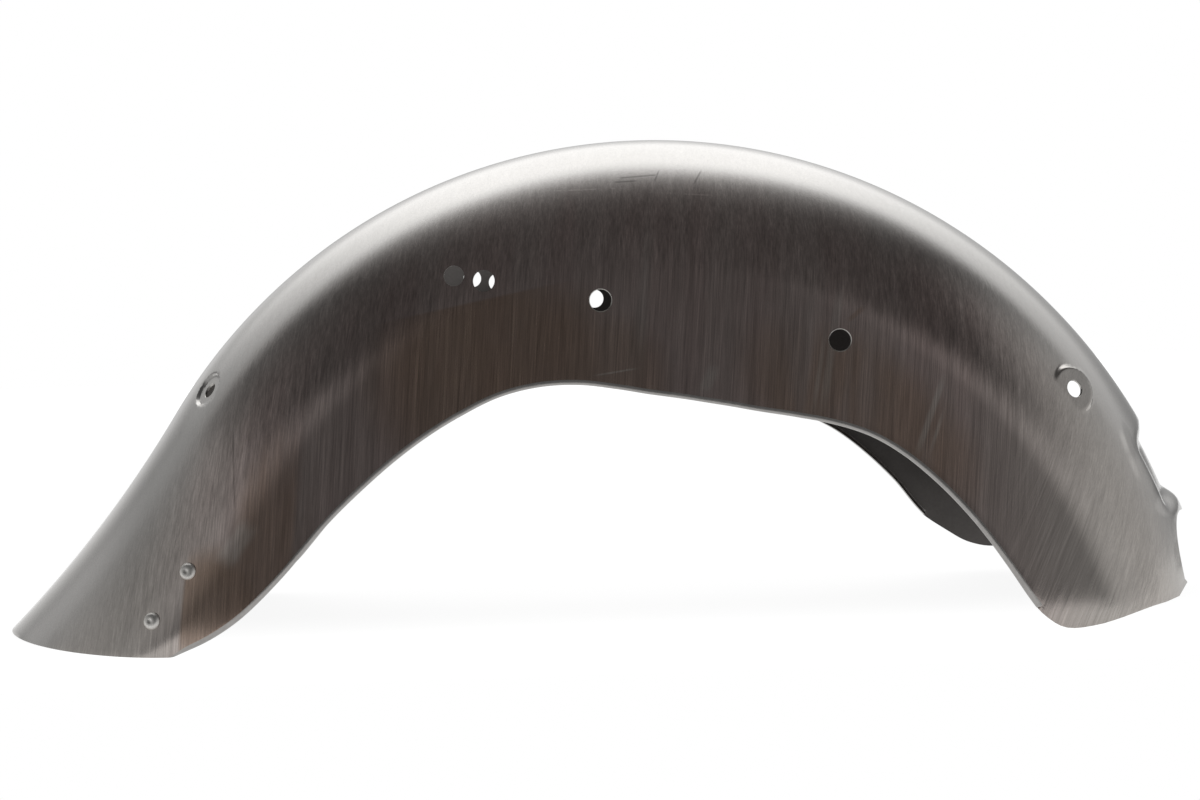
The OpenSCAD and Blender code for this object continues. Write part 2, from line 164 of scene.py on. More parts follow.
def shoulder_slope(t):
    """Way down the shoulder, as a share outward and a share down."""
    w = conic_w(t)
    dw = -2 * (1 - t) + 2 * SHOULDER_FULL * (1 - 2 * t) + 2 * t
    top = 2 * SHOULDER_FULL * t * (1 - t) + t * t
    dtop = 2 * SHOULDER_FULL * (1 - 2 * t) + 2 * t
    return Vector((HALF_W * (dtop * w - top * dw), SHOULDER_DROP * (2 * t * w - t * t * dw))).normalized()


def along(rows, x, c):
    """Smooth curve through the rows of a table, by its first column."""
    i = 0
    while i < len(rows) - 2 and x >= rows[i + 1][0]:
        i += 1

    def slope(k):
        lo, hi = max(k - 1, 0), min(k + 1, len(rows) - 1)
        return (rows[hi][c] - rows[lo][c]) / (rows[hi][0] - rows[lo][0])

    span = rows[i + 1][0] - rows[i][0]
    u = (x - rows[i][0]) / span
    return ((2 * u ** 3 - 3 * u * u + 1) * rows[i][c] + (u ** 3 - 2 * u * u + u) * slope(i) * span
            + (3 * u * u - 2 * u ** 3) * rows[i + 1][c] + (u ** 3 - u * u) * slope(i + 1) * span)


REAR_GAIN = (TIP_STATION - TAIL_START) / (TAIL_CORNER - TAIL_START)


def rear_row(angle, depth):
    return TAIL_START + (angle - TAIL_START) * (REAR_GAIN if angle < TAIL_START else 1), angle, depth


def whole_edge(left, front_rows):
    """Table of a side edge, from the tail's corner forward; left is 1 on the left side and 0 on the right."""
    corner = rear_row(TAIL_CORNER, CROWN_R - FLOOR_UP / math.cos(math.radians(TAIL_CORNER)))
    return ([corner] + [rear_row(a, d - left * less) for a, d, less in REAR_ROWS]
            + [(a, a, d) for a, d in MIDDLE_EDGE] + list(front_rows))


EDGES = {-1: whole_edge(0, RIGHT_FRONT), 1: whole_edge(1, LEFT_FRONT)}
LIP_ENDS = {-1: RIGHT_LIP_END[0], 1: LEFT_LIP_END[0]}


def place(angle, depth):
    return (CROWN_R - depth) * side_angle(angle)


def tail_place(dist, depth):
    """Place on the tail, by its distance behind the tail's root along the crown and its depth."""
    p = crown_line(TAIL_START - math.degrees(dist / CROWN_R))
    return p + inward(p) * depth


def edge_point(side, station):
    return place(along(EDGES[side], station, 1), along(EDGES[side], station, 2))


class Rib:
    """The side-view line of one station on one side, from the crown down to the edge."""
    made = {}
    # Degrees to each side of a station between which the way of its edge is taken
    reach = 0.2

    def __init__(self, side, station):
        self.top = crown_line(station)
        a = edge_point(side, max(station - self.reach, TIP_STATION))
        b = edge_point(side, min(station + self.reach, CROWN_END))
        way = (b - a).normalized()
        corner = smooth(1 - (station - TIP_STATION) / CORNER_RUN)
        self.down = (Vector((way.y, -way.x)) * (1 - corner) + Vector((1, 0)) * corner).normalized()
        self.bend = edge_point(side, station) - LIP_R * self.down
        self.full = depth_of(self.bend)
        front = smooth((station - RIGHT_LIP_END[0]) / (CROWN_END - RIGHT_LIP_END[0]))
        knee = place(*FRONT_KNEE) - (crown_line(CROWN_END) + edge_point(-1, CROWN_END)) / 2
        self.bow = 4 * front * knee
        self.lipped = station <= LIP_ENDS[side]

    @classmethod
    def at(cls, side, station):
        key = (side, round(station, 5))
        if key not in cls.made:
            cls.made[key] = cls(side, station)
        return cls.made[key]

    def share(self, j):
        """Share of the way from the crown to the bend of the lip, for row j."""
        if j > SIDE_ROWS:
            return 1.0
        full = max(self.full, SHOULDER_DROP * SIDE_SHARE)
        if j <= SHOULDER_ROWS:
            return shoulder_depth(j / SHOULDER_ROWS) / full
        wall = (full - SHOULDER_DROP) * (j - SHOULDER_ROWS) / (SIDE_ROWS - SHOULDER_ROWS)
        return (SHOULDER_DROP + wall) / full

    def point(self, j):
        s = self.share(j)
        flat = max(0.0, (j - SIDE_ROWS) / (ALL_ROWS - SIDE_ROWS))
        return self.top + (self.bend - self.top) * s + self.bow * s * (1 - s) + self.down * LIP_R * flat


def press(p, y):
    """How far the cross recess sinks, or the bead rises, at a place on the crown."""
    a = angle_of(p)
    half = math.degrees(RECESS_LEN / 2 / CROWN_R)
    across = smooth((RECESS_HALF_W - abs(y)) / RECESS_FADE + RECESS_FADE_OUT)
    dip = smooth((a - RECESS_MID + half) / PRESS_RUN) * smooth((RECESS_MID + half - a) / PRESS_RUN)
    bead = smooth((a - RECESS_MID - half + PRESS_RUN / 2) / PRESS_RUN)
    bead *= 1 - smooth((abs(y) - BEAD_HALF_W) / BEAD_FADE)
    return RECESS_DEPTH * dip * across - BEAD_H * bead


def skin_point(station, row, offset):
    """A place on the sheet, offset inside its outer skin; row runs from the right edge to the left one."""
    side = 1 if row > 0 else -1
    j = abs(row)
    rib = Rib.at(side, station)
    if j > SIDE_ROWS and rib.lipped:
        turn = math.radians(LIP_TURN * (j - SIDE_ROWS) / (ALL_ROWS - SIDE_ROWS))
        c = rib.bend + rib.down * (LIP_R - offset) * math.sin(turn)
        return Vector((c.x, side * (HALF_W - LIP_R + (LIP_R - offset) * math.cos(turn)), c.y))
    p = rib.point(j)
    t = conic_t(depth_of(p))
    tangent = shoulder_slope(t)
    into = inward(p)
    y = shoulder_y(t)
    q = p + into * (offset * tangent.x) + into * press(p, y)
    return Vector((q.x, side * (y - offset * tangent.y), q.y))


# Seats, holes and rivets

LAMP = place(-52.5, 16.5)
FRONT_SEAT = place(52.6, 44)
HARNESS = place(57.6, 14.5)
WIRE_HOLE_ANGLE = -50.5
# The four wall holes lie on one line, which falls to the front
STRUT_MIDDLE = place(-6.4, 112)
STRUT_FALL = math.radians(11.3)
STRUT_WAY = Vector((math.cos(STRUT_FALL), -math.sin(STRUT_FALL)))
STRUT_REAR = STRUT_MIDDLE - STRUT_WAY * 77.5
STRUT_FRONT = STRUT_MIDDLE + STRUT_WAY * 158.5
SPARE = STRUT_REAR - STRUT_WAY * 20.2
STRUT_HOLE_D, SPARE_HOLE_D, LAMP_HOLE_D, FRONT_HOLE_D = 14.3, 13.7, 10.5, 11.6
HARNESS_HOLE_D, WIRE_HOLE_D, RIVET_HOLE_D = 17.0, 9.5, 6.8
# Chamfer on the hole in a wall, and in a seat
WALL_CHAMFER, SEAT_CHAMFER = 0.45, 0.3
BRACE_AT, BRACE_W, BRACE_T, BRACE_GAP = 79.0, 60.0, 2.0, 0.4
RIVET_PITCH, RIVET_DEPTH = 36.7, 79.5
RIVET_DISTS = (BRACE_AT - RIVET_PITCH / 2, BRACE_AT + RIVET_PITCH / 2)
LAMP_SEAT_R, LAMP_SINK, LAMP_RIM = 12.0, 2.2, 0.9
FRONT_SEAT_R, FRONT_SEAT_UP, FRONT_SEAT_LEAN, FRONT_RIM = 16.0, 1.5, 27.0, 1.7
# How far past its radius a seat can move the sheet
SEAT_REACH = 4.0


def lean_at(p):
    """Slope of the sheet at p, in degrees from the flat wall."""
    tangent = shoulder_slope(conic_t(depth_of(p)))
    return math.degrees(math.atan2(tangent.x, tangent.y))


def seat_frame(p, side, lean=None):
    """Turns and moves a thing onto the sheet at p, with its +Z out of the sheet or at the lean given."""
    lean = lean_at(p) if lean is None else lean
    out = -inward(p)
    return (Matrix.Translation((p.x, side * shoulder_y(conic_t(depth_of(p))), p.y))
            @ Matrix.Rotation(math.atan2(out.x, out.y), 4, "Y")
            @ Matrix.Rotation(math.radians(-side * (90 - lean)), 4, "X"))


class Seat:
    """A round flat pressed into the sheet, sunk where way is -1 and raised where it is 1."""

    def __init__(self, p, side, lean, radius, level, way, rim):
        self.frame = seat_frame(p, side, lean)
        self.back = self.frame.inverted()
        self.radius, self.level, self.way, self.rim = radius, level, way, rim

    def pressed(self, co, offset):
        """Where a point of the sheet goes, by its offset inside the outer skin."""
        if (co - self.frame.translation).length > self.radius + SEAT_REACH:
            return co
        q = self.back @ co
        share = smooth((self.radius + self.rim - math.hypot(q.x, q.y)) / (2 * self.rim))
        move = self.level - offset - q.z
        if share > 0 and move * self.way > 0:
            q.z += move * share
            return self.frame @ q
        return co


SEATS = [Seat(LAMP, side, None, LAMP_SEAT_R, -LAMP_SINK, -1, LAMP_RIM) for side in (-1, 1)]
SEATS += [Seat(FRONT_SEAT, side, FRONT_SEAT_LEAN, FRONT_SEAT_R, FRONT_SEAT_UP, 1, FRONT_RIM)
          for side in (-1, 1)]

# Mesh tools


def set_down(bm):
    """Millimetres about the axle to metres in the row frame."""
    bm.transform(Matrix.Scale(0.001, 4) @ Matrix.Translation((AXLE.x, 0, AXLE.y)))


def shade_smooth(mesh, smooth_angle):
    for poly in mesh.polygons:
        poly.use_smooth = True
    if smooth_angle:
        mesh.set_sharp_from_angle(angle=math.radians(smooth_angle))


def to_object(bm, name, smooth_angle=None):
    mesh = bpy.data.meshes.new(name)
    bm.to_mesh(mesh)
    bm.free()
    shade_smooth(mesh, smooth_angle)
    obj = bpy.data.objects.new(name, mesh)
    bpy.context.scene.collection.objects.link(obj)
    return obj


OUTER_SLOT, INNER_SLOT, LIP_SLOT = range(3)
# Rounding of the sheet's edges, and the angles in degrees past which a sheet and a rivet show a crease
EDGE_BEVEL = 0.3
SHEET_CREASE, RIVET_CREASE = 32, 40
# Points nearer than this are one: in millimetres on a turned line, and in metres after a cut
TURNED_MERGE, CUT_MERGE = 1e-4, 2e-6


def sheet_mesh(stations, rows, outer, inner, refine=()):
    """A closed sheet between two skins: a flat grid of stations by rows, refined in places and then bent."""
    bm = bmesh.new()
    nx, ny = len(stations), len(rows)
    bmesh.ops.create_grid(bm, x_segments=nx - 1, y_segments=ny - 1, size=1)
    for v in bm.verts:
        i = round((v.co.x + 1) / 2 * (nx - 1))
        k = round((v.co.y + 1) / 2 * (ny - 1))
        v.co = (stations[i], rows[k], 0)
    for centre, reach in refine:
        near = [f for f in bm.faces
                if (skin_point(*f.calc_center_median().xy, 0) - centre).length < reach]
        edges = list({e for f in near for e in f.edges})
        bmesh.ops.subdivide_edges(bm, edges=edges, cuts=1, use_grid_fill=True)
    made = bmesh.ops.extrude_face_region(bm, geom=bm.faces[:], use_keep_orig=True)
    inside = {v for v in made["geom"] if isinstance(v, bmesh.types.BMVert)}
    for f in bm.faces:
        f.material_index = slot_of(f, inside)
    for v in bm.verts:
        offset = inner if v in inside else outer
        co = skin_point(v.co.x, v.co.y, offset)
        for seat in SEATS:
            co = seat.pressed(co, offset)
        v.co = co
    border = [e for e in bm.edges
              if len(e.link_faces) == 2 and (e.verts[0] in inside) == (e.verts[1] in inside)
              and len([f for f in e.link_faces if len({v in inside for v in f.verts}) == 2]) == 1]
    bmesh.ops.bevel(bm, geom=border, offset=EDGE_BEVEL, affect="EDGES", segments=2, profile=0.5,
                    material=-1, clamp_overlap=True)
    bmesh.ops.recalc_face_normals(bm, faces=bm.faces)
    set_down(bm)
    return bm


def slot_of(face, inside):
    """Material slot of a face of the flat sheet, whose points hold station and row."""
    row = sum(abs(v.co.y) for v in face.verts) / len(face.verts)
    station = sum(v.co.x for v in face.verts) / len(face.verts)
    side = 1 if face.verts[0].co.y + face.verts[1].co.y > 0 else -1
    if row > SIDE_ROWS and station < LIP_ENDS[side]:
        return LIP_SLOT
    return INNER_SLOT if all(v in inside for v in face.verts) else OUTER_SLOT


def turned(profile, steps=64):
    """Spins a closed line of (radius, height) pairs about +Z."""
    bm = bmesh.new()
    verts = [bm.verts.new((r, 0, z)) for r, z in profile]
    edges = [bm.edges.new(pair) for pair in zip(verts, verts[1:])]
    bmesh.ops.spin(bm, geom=verts + edges, cent=(0, 0, 0), axis=(0, 0, 1), angle=math.tau, steps=steps,
                   use_merge=True)
    bmesh.ops.remove_doubles(bm, verts=bm.verts, dist=TURNED_MERGE)
    bmesh.ops.recalc_face_normals(bm, faces=bm.faces)
    return bm


def joined(parts):
    """Several (bmesh, matrix) pairs as one bmesh, set down in the row frame."""
    whole = bmesh.new()
    for bm, matrix in parts:
        bm.transform(matrix)
        mesh = bpy.data.meshes.new("part")
        bm.to_mesh(mesh)
        bm.free()
        whole.from_mesh(mesh)
        bpy.data.meshes.remove(mesh)
    set_down(whole)
    return whole


# How far a punch stands out of the skin, and how far it goes in
PUNCH_UP, PUNCH_IN, LONG_PUNCH_IN = 8.0, 8.0, 12.0
# The harness punch lies level, from the middle plane to this far out on the left
HARNESS_PUNCH_OUT = 95.0


def punch(d, chamfer):
    """A punch through the sheet: a cylinder with a small flare where it enters at z = 0."""
    r = d / 2
    flare = r + 2 * chamfer
    return turned([(0, -PUNCH_IN), (r, -PUNCH_IN), (r, -chamfer), (flare, chamfer), (flare, PUNCH_UP),
                   (0, PUNCH_UP)])


def plain_punch(d, up=PUNCH_UP, into=LONG_PUNCH_IN):
    return turned([(0, -into), (d / 2, -into), (d / 2, up), (0, up)])


def wall_frame(p, side):
    """Square to the wall, with z = 0 on the skin at p."""
    return (Matrix.Translation((p.x, side * shoulder_y(conic_t(depth_of(p))), p.y))
            @ Matrix.Rotation(math.radians(-side * 90), 4, "X"))


def rivet_punch(dist, side):
    return plain_punch(RIVET_HOLE_D), seat_frame(tail_place(dist, RIVET_DEPTH), side)


def side_punches(side):
    """The punches of the wall holes, the two seats and the rivets on one side."""
    lamp_floor = seat_frame(LAMP, side) @ Matrix.Translation((0, 0, -LAMP_SINK))
    seat_top = seat_frame(FRONT_SEAT, side, FRONT_SEAT_LEAN) @ Matrix.Translation((0, 0, FRONT_SEAT_UP))
    return [(punch(STRUT_HOLE_D, WALL_CHAMFER), wall_frame(STRUT_MIDDLE, side)),
            (punch(STRUT_HOLE_D, WALL_CHAMFER), wall_frame(STRUT_FRONT, side)),
            (plain_punch(STRUT_HOLE_D), wall_frame(STRUT_REAR, side)),
            (plain_punch(SPARE_HOLE_D), wall_frame(SPARE, side)),
            (punch(LAMP_HOLE_D, SEAT_CHAMFER), lamp_floor),
            (punch(FRONT_HOLE_D, SEAT_CHAMFER), seat_top)] + [rivet_punch(dist, side) for dist in RIVET_DISTS]


def harness_punch():
    middle = HALF_W / 2
    level = Matrix.Rotation(math.radians(90), 4, "X")
    return (plain_punch(HARNESS_HOLE_D, middle, HARNESS_PUNCH_OUT - middle),
            Matrix.Translation((HARNESS.x, middle, HARNESS.y)) @ level)


def wire_punch():
    turn = Matrix.Rotation(math.radians(WIRE_HOLE_ANGLE), 4, "Y")
    return punch(WIRE_HOLE_D, SEAT_CHAMFER), turn @ Matrix.Translation((0, 0, CROWN_R))


def shell_punches():
    return joined(side_punches(-1) + side_punches(1) + [harness_punch(), wire_punch()])


def cut(bm, name, tool_bm, materials):
    """Takes the tools out of a closed mesh and keeps the result; a cut face has the last of the materials."""
    body = to_object(bm, name)
    for mat in materials:
        body.data.materials.append(mat)
    for face in tool_bm.faces:
        face.material_index = len(materials) - 1
    tool = to_object(tool_bm, name + "_tool")
    mod = body.modifiers.new("holes", "BOOLEAN")
    mod.operation = "DIFFERENCE"
    mod.solver = "EXACT"
    mod.object = tool
    bpy.context.view_layer.update()
    mesh = bpy.data.meshes.new_from_object(body.evaluated_get(bpy.context.evaluated_depsgraph_get()))
    body.modifiers.clear()
    body.data = mesh
    bpy.data.objects.remove(tool)
    mesh.name = name
    seam = bmesh.new()
    seam.from_mesh(mesh)
    bmesh.ops.remove_doubles(seam, verts=seam.verts, dist=CUT_MERGE)
    seam.to_mesh(mesh)
    seam.free()
    shade_smooth(mesh, SHEET_CREASE)
    return body


# Shader tools


class Term:
    """A socket of a node tree, in expressions."""

    def __init__(self, tree, socket):
        self.tree, self.socket = tree, socket

    def math(self, operation, *values, clamp=False):
        node = self.tree.nodes.new("ShaderNodeMath")
        node.operation, node.use_clamp = operation, clamp
        for slot, value in zip(node.inputs, values):
            plug(self.tree, slot, value)
        return Term(self.tree, node.outputs[0])

    def __add__(self, other):
        return self.math("ADD", self, other)

    def __radd__(self, other):
        return self.math("ADD", other, self)

    def __sub__(self, other):
        return self.math("SUBTRACT", self, other)

    def __rsub__(self, other):
        return self.math("SUBTRACT", other, self)

    def __mul__(self, other):
        return self.math("MULTIPLY", self, other)

    def __rmul__(self, other):
        return self.math("MULTIPLY", other, self)

    def __truediv__(self, other):
        return self.math("DIVIDE", self, other)

    def __abs__(self):
        return self.math("ABSOLUTE", self)

    def larger(self, other):
        return self.math("MAXIMUM", self, other)

    def held(self):
        """Kept between 0 and 1."""
        return self.math("ADD", self, 0.0, clamp=True)

    def step(self, low, high):
        """0 below low and 1 above high, and smooth between them; low may be the larger."""
        node = self.tree.nodes.new("ShaderNodeMapRange")
        node.interpolation_type = "SMOOTHSTEP"
        for slot, value in zip(node.inputs, (self, low, high, 0.0, 1.0)):
            plug(self.tree, slot, value)
        return Term(self.tree, node.outputs[0])


def plug(tree, slot, value):
    if isinstance(value, Term):
        tree.links.new(value.socket, slot)
    else:
        slot.default_value = value


class Nodes:
    """Builds one node tree."""

    def __init__(self, owner):
        owner.use_nodes = True
        self.tree = owner.node_tree
        self.tree.nodes.clear()

    def raw(self, kind, settings=None, values=None):
        """Adds a node of a type, with its settings first and then the values or links of its sockets."""
        node = self.tree.nodes.new("ShaderNode" + kind)
        for name, value in (settings or {}).items():
            if name == "stops":
                elements = node.color_ramp.elements
                while len(elements) < len(value):
                    elements.new(1.0)
                for element, (at, level) in zip(elements, value):
                    element.position, element.color = at, (level, level, level, 1)
            else:
                setattr(node, name, value)
        for name, value in (values or {}).items():
            plug(self.tree, node.inputs[name], value)
        return node

    def term(self, kind, settings=None, values=None, out=0):
        return Term(self.tree, self.raw(kind, settings, values).outputs[out])

    def parts(self, vector):
        return [Term(self.tree, o) for o in self.raw("SeparateXYZ", None, {0: vector}).outputs]

    def ray(self, kind):
        """1 for light rays of a kind and 0 for others."""
        return Term(self.tree, self.raw("LightPath").outputs[kind])

    def noise(self, where, per_metre, turn=0.0, offset=(0, 0, 0), detail=3.0, rough=0.5, twist=0.0):
        """Noise with its own pitch along each axis, turned about the width axis."""
        turned_to = self.term("Mapping", None, {"Vector": where, "Rotation": (0, math.radians(turn), 0)})
        scaled = self.term("Mapping", None, {"Vector": turned_to, "Scale": per_metre, "Location": offset})
        return self.term("TexNoise", None, {"Vector": scaled, "Scale": 1.0, "Detail": detail,
                                            "Roughness": rough, "Distortion": twist})

    def mix(self, share, a, b):
        return self.term("Mix", {"data_type": "RGBA"}, {0: share, 6: a, 7: b}, 2)

    def shade(self, colour, grey):
        """A colour made lighter or darker."""
        return self.term("VectorMath", {"operation": "SCALE"},
                         {0: colour if isinstance(colour, Term) else colour[:3], "Scale": grey})

    def surface(self, shader):
        self.raw("OutputMaterial", None, {"Surface": shader})


def new_material(name):
    """A material, its nodes and its Object coordinates, in metres."""
    mat = bpy.data.materials.new(name)
    nodes = Nodes(mat)
    return mat, nodes, nodes.term("TexCoord", out=3)


def steel_surface(nodes, colour, rough, height, strength):
    bump = nodes.term("Bump", None, {"Strength": strength, "Distance": 0.0002, "Height": height})
    nodes.surface(nodes.term("BsdfPrincipled", None, {"Base Color": colour, "Metallic": 1.0,
                                                      "Roughness": rough, "Normal": bump}))


class SideView:
    """Marks drawn on the side of the shell, by their x and z in metres."""

    def __init__(self, x, z):
        self.x, self.z = x, z

    def frame(self, a, b):
        """Distance along the line from a to b, distance to its left, and its length."""
        length = math.hypot(b[0] - a[0], b[1] - a[1])
        dx, dz = (b[0] - a[0]) / length, (b[1] - a[1]) / length
        run = (self.x - a[0]) * dx + (self.z - a[1]) * dz
        left = (self.z - a[1]) * dx - (self.x - a[0]) * dz
        return run, left, length

    def left_of(self, a, b, soft):
        return self.frame(a, b)[1].step(-soft, soft)

    def stroke(self, a, b, width, soft, taper):
        """1 on a line from a to b, with a soft edge, and tapered at both ends."""
        run, left, length = self.frame(a, b)
        body = 1 - abs(left).step(width / 2, width / 2 + soft)
        return body * run.step(0.0, taper) * (1 - run.step(length - taper, length))

    def strokes(self, rows):
        """The strongest of several strokes, given as their values and a strength."""
        strongest = None
        for *line, strength in rows:
            mark = self.stroke(*line) * strength
            strongest = mark if strongest is None else strongest.larger(mark)
        return strongest

    def patch(self, centre, reach, turn, soft):
        """1 inside an ellipse, with reach its half axes and turn its slope in degrees."""
        c, s = math.cos(math.radians(turn)), math.sin(math.radians(turn))
        dx, dz = self.x - centre[0], self.z - centre[1]
        u = (dx * c + dz * s) / reach[0]
        v = (dz * c - dx * s) / reach[1]
        return 1 - (u * u + v * v).step(1 - soft, 1 + soft)


# Bare steel: linear colours, and marks by the x and z in metres of their places on the right side

CLEAN_STEEL = (0.520, 0.508, 0.492, 1)
WARM_STEEL = (0.480, 0.445, 0.412, 1)
PLUM_FILM = (0.430, 0.345, 0.325, 1)
BROWN_OXIDE = (0.330, 0.225, 0.160, 1)
# Pale colour of the wipe marks, and of the painted highlight beside the rivets
PALE_RUB_AND_HIGHLIGHT = (0.640, 0.600, 0.560, 1)

# Lean of the brushing from upright, in degrees, on the walls and on the front flap
BRUSH_LEAN, FLAP_LEAN = -5, -24
# Line in front of which the brushing lies as on the front flap
FLAP_LINE = ((0.262, 0.02), (0.318, 0.22))

# Oxide: centre, half axes, slope in degrees and softness of each patch, and the sharp lines that end two
OXIDE_UNDER_HOLES = ((-0.065, 0.178), (0.078, 0.062), 10, 0.6)
OXIDE_REAR = ((-0.214, 0.078), (0.024, 0.062), -12, 0.7)
OXIDE_TAIL = ((-0.252, 0.030), (0.034, 0.036), 0, 0.6)
OXIDE_MIDDLE = ((0.012, 0.172), (0.035, 0.040), 0, 0.6)
OXIDE_FRONT = ((0.175, 0.140), (0.085, 0.042), -38, 0.6)
UNDER_HOLES_LINE = ((-0.0935, 0.2221), (-0.0206, 0.2361))
TAIL_LINE = ((-0.2764, 0.0), (-0.2700, 0.06))

# Strokes: start, end, width, soft edge, taper, and strength
OXIDE_FLECK = ((0.1660, 0.2040), (0.1800, 0.2150), 0.0016, 0.0014, 0.006)
WIPE_MARKS = (
    ((0.1475, 0.1380), (0.1650, 0.2360), 0.0022, 0.0030, 0.03, 0.35),
    ((0.1415, 0.1380), (0.1560, 0.2150), 0.0012, 0.0020, 0.03, 0.28),
    ((0.2080, 0.1120), (0.2310, 0.1720), 0.0016, 0.0022, 0.02, 0.42),
    ((0.2165, 0.1120), (0.2300, 0.1500), 0.0008, 0.0014, 0.02, 0.32),
    ((0.0700, 0.1580), (0.0815, 0.1820), 0.0030, 0.0040, 0.01, 0.36),
    ((0.0300, 0.1750), (0.0420, 0.2900), 0.0018, 0.0050, 0.04, 0.22),
    ((-0.0017, 0.1745), (0.0330, 0.1792), 0.0004, 0.0007, 0.01, 0.45),
)
# A painted highlight on the sheet beside the rivets
HIGHLIGHT_BY_RIVETS = ((-0.2500, 0.0550), (-0.2255, 0.0870), 0.0060, 0.0060, 0.012, 0.42)
SCRATCHES = (
    ((-0.2400, 0.1520), (-0.2365, 0.0900), 0.0004, 0.0008, 0.015, 0.50),
    ((0.0220, 0.3060), (0.0500, 0.3075), 0.0004, 0.0007, 0.004, 0.55),
    ((0.0460, 0.3015), (0.0510, 0.3120), 0.0004, 0.0007, 0.004, 0.55),
    ((0.0720, 0.2985), (0.0800, 0.3110), 0.0004, 0.0007, 0.004, 0.55),
    ((0.0180, 0.3030), (0.0360, 0.3035), 0.0004, 0.0007, 0.004, 0.55),
)
GLINTS = (
    ((-0.0300, 0.2985), (0.0360, 0.2985), 0.0003, 0.0007, 0.02, 1.0),
    ((0.0400, 0.2950), (0.0980, 0.2905), 0.0003, 0.0007, 0.02, 1.0),
)
# The end of the cross recess, as painted highlights on its ridges and painted shade in its hollow, and the
# corner of the flap with a painted highlight and painted shade in its hollow
RECESS_RIDGE_HIGHLIGHTS = (
    ((0.3560, 0.1275), (0.3605, 0.1055), 0.0012, 0.0034, 0.010, 1.0),
    ((0.3590, 0.1115), (0.3662, 0.0885), 0.0010, 0.0034, 0.010, 0.8),
)
FLAP_CORNER_HIGHLIGHT = ((0.3875, 0.0709), (0.0100, 0.0062), -12, 0.6)
FLAP_HOLLOW_SHADE = ((0.3844, 0.0835), (0.0060, 0.0050), 0, 0.7)
RECESS_HOLLOW_SHADE = ((0.3640, 0.1165), (0.0040, 0.0120), 12, 0.7)


class SteelPlaces:
    """What the parts of the bare steel share: its nodes, regions and slow noises."""

    def __init__(self, n, where):
        self.n, self.where = n, where
        wander = n.noise(where, (14, 14, 14)) - 0.5
        x, y, z = n.parts(where)
        self.x = x
        self.sharp = SideView(x, z)
        self.wavy = SideView(x + wander * 0.012, z + wander * 0.010)
        self.wall = abs(y).step(0.055, 0.092)
        self.near_side = 1 - y.step(-0.02, 0.02)
        self.flap = (1 - self.wavy.left_of(*FLAP_LINE, 0.03)) * self.wall
        self.veil = n.noise(where, (34, 12, 3.0), BRUSH_LEAN, (3.1, 0, 0.7), twist=0.4)
        self.cloud = n.noise(where, (16, 16, 12), 0, (0, 0, 5.0), detail=4.0, rough=0.55)

    def brushed(self, upright, leaning, contrast):
        """Brushing that leans forward on the walls, and lies flatter on the front flap."""
        return ((upright + (leaning - upright) * self.flap - 0.5) * contrast + 0.5).held()

    def grain(self):
        upright = self.n.noise(self.where, (1100, 300, 22), BRUSH_LEAN, detail=4.0, rough=0.7)
        leaning = self.n.noise(self.where, (1100, 300, 26), FLAP_LEAN, (1.7, 0, 0), detail=4.0, rough=0.7)
        return self.brushed(upright, leaning, 1.7)

    def streak(self):
        upright = self.n.noise(self.where, (210, 60, 4.0), BRUSH_LEAN, (0, 2.0, 0), detail=4.0, rough=0.65)
        leaning = self.n.noise(self.where, (210, 60, 6.0), FLAP_LEAN, (0, 3.0, 0), detail=4.0, rough=0.65)
        return self.brushed(upright, leaning, 1.5)

    def film(self):
        """Plum film on the walls between the ends."""
        middle = self.x.step(-0.32, -0.20) * (1 - self.x.step(0.22, 0.34))
        return (middle * self.wall * (self.veil * 0.9 + 0.45)).held()

    def oxide(self):
        """Brown oxide: under the holes, in bands at the rear, and behind the front flap."""
        wavy, sharp, veil = self.wavy, self.sharp, self.veil
        under_holes = wavy.patch(*OXIDE_UNDER_HOLES) * (1 - sharp.left_of(*UNDER_HOLES_LINE, 0.0012))
        tail = wavy.patch(*OXIDE_TAIL) * (1 - sharp.left_of(*TAIL_LINE, 0.0015))
        rear = wavy.patch(*OXIDE_REAR) * veil.step(0.30, 0.60)
        front = wavy.patch(*OXIDE_FRONT) * veil.step(0.25, 0.55)
        middle = wavy.patch(*OXIDE_MIDDLE)
        patches = (under_holes * 0.62).larger(rear * 0.55).larger(tail * 0.62).larger(middle * 0.4)
        patches = patches.larger(front * 0.60) * self.wall * self.near_side
        fleck = sharp.stroke(*OXIDE_FLECK) * 0.4 * self.near_side
        return (patches * (0.55 + self.cloud * 0.9) + fleck).held()

    def rubs_and_highlight(self, streak):
        """Pale wipe marks along the brushing, and a painted highlight on the sheet beside the rivets."""
        marks = self.sharp.strokes(WIPE_MARKS).larger(self.wavy.strokes([HIGHLIGHT_BY_RIVETS]))
        return (marks * self.near_side * (0.5 + streak)).held()

    def scratched(self):
        return 1 - self.sharp.strokes(SCRATCHES) * self.near_side * 0.6

    def glints(self):
        broken = self.n.noise(self.where, (220, 20, 220), detail=2.0).step(0.45, 0.6)
        return self.sharp.strokes(GLINTS) * broken * self.near_side * 0.25

    def pressed(self):
        """Painted highlights on the ridges and painted shade in the hollows of the shallow pressing at the
        front end.
        """
        ridge_highlight = self.sharp.strokes(RECESS_RIDGE_HIGHLIGHTS).larger(self.sharp.patch(*FLAP_CORNER_HIGHLIGHT))
        hollow_shade = self.sharp.patch(*RECESS_HOLLOW_SHADE).larger(self.sharp.patch(*FLAP_HOLLOW_SHADE))
        return 1 + (ridge_highlight * 0.30 - hollow_shade * 0.20) * self.near_side


